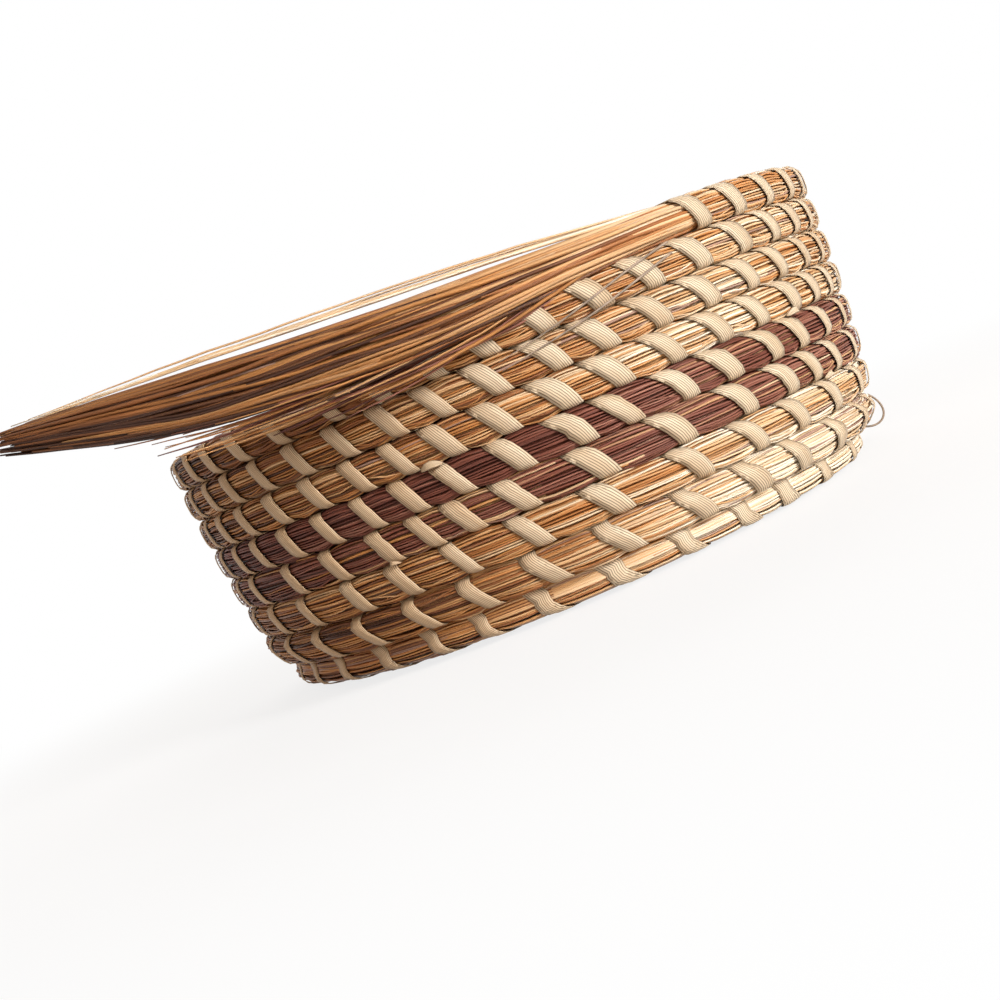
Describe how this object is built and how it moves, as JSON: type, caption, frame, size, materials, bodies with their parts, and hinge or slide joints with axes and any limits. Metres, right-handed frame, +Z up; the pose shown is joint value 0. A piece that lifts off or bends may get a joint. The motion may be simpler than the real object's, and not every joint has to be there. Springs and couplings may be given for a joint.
{
  "type": "coiled grass basket",
  "caption": "Round coiled basket: a grass bundle wound in rows and sewn with palm leaf strips, its loose working end springing off the rim.",
  "frame": {"origin": "middle of the base's underside, on the basket's axis", "axes": "+Z up through the mouth; -Y is the side that the picture shows, +X to its right; the working end leaves the rim towards -X"},
  "size_m": [0.1888, 0.1842, 0.082],
  "materials": {
    "golden_grass": "dry grass blades, satin",
    "dark_grass": "dark maroon brown grass blades, satin",
    "palm_strip": "finely ribbed palm leaf, matt",
    "grey_strand": "grey brown dry strand, matt"
  },
  "bodies": {
    "basket": {"start_knot": "golden_grass", "base_coil": "golden_grass", "lower_wall_row_1": "golden_grass", "lower_wall_row_2": "golden_grass", "lower_wall_row_3": "golden_grass", "lower_wall_row_4": "golden_grass", "dark_band_row_1": "dark_grass", "dark_band_row_2": "dark_grass", "upper_wall_row_1": "golden_grass", "upper_wall_row_2": "golden_grass", "upper_wall_row_3": "golden_grass", "upper_wall_row_4": "golden_grass", "base_strip_01": "palm_strip", "base_strip_02": "palm_strip", "base_strip_03": "palm_strip", "base_strip_04": "palm_strip", "base_strip_05": "palm_strip", "base_strip_06": "palm_strip", "base_strip_07": "palm_strip", "base_strip_08": "palm_strip", "wall_strip_01": "palm_strip", "wall_strip_02": "palm_strip", "wall_strip_03": "palm_strip", "wall_strip_04": "palm_strip", "wall_strip_05": "palm_strip", "wall_strip_06": "palm_strip", "wall_strip_07": "palm_strip", "wall_strip_08": "palm_strip", "wall_strip_09": "palm_strip", "wall_strip_10": "palm_strip", "wall_strip_11": "palm_strip", "wall_strip_12": "palm_strip", "wall_strip_13": "palm_strip", "wall_strip_14": "palm_strip", "wall_strip_15": "palm_strip", "wall_strip_16": "palm_strip", "wall_strip_17": "palm_strip", "cross_strand_1": "grey_strand", "cross_strand_2": "grey_strand", "strand_loop": "grey_strand"},
    "working_end": {"working_end": "golden_grass", "upper_stray_blade": "golden_grass", "lower_stray_blade_1": "golden_grass", "lower_stray_blade_2": "golden_grass", "lower_stray_blade_3": "golden_grass"}
  },
  "joints": [
    {"name": "working_end_flex", "type": "hinge", "parent": "basket", "child": "working_end", "pos_m": [0.04345, -0.0705, 0.06721], "axis": [0, 0, 1], "range_deg": [0, 40], "stiffness_Nm_per_rad": 0.04}
  ]
}
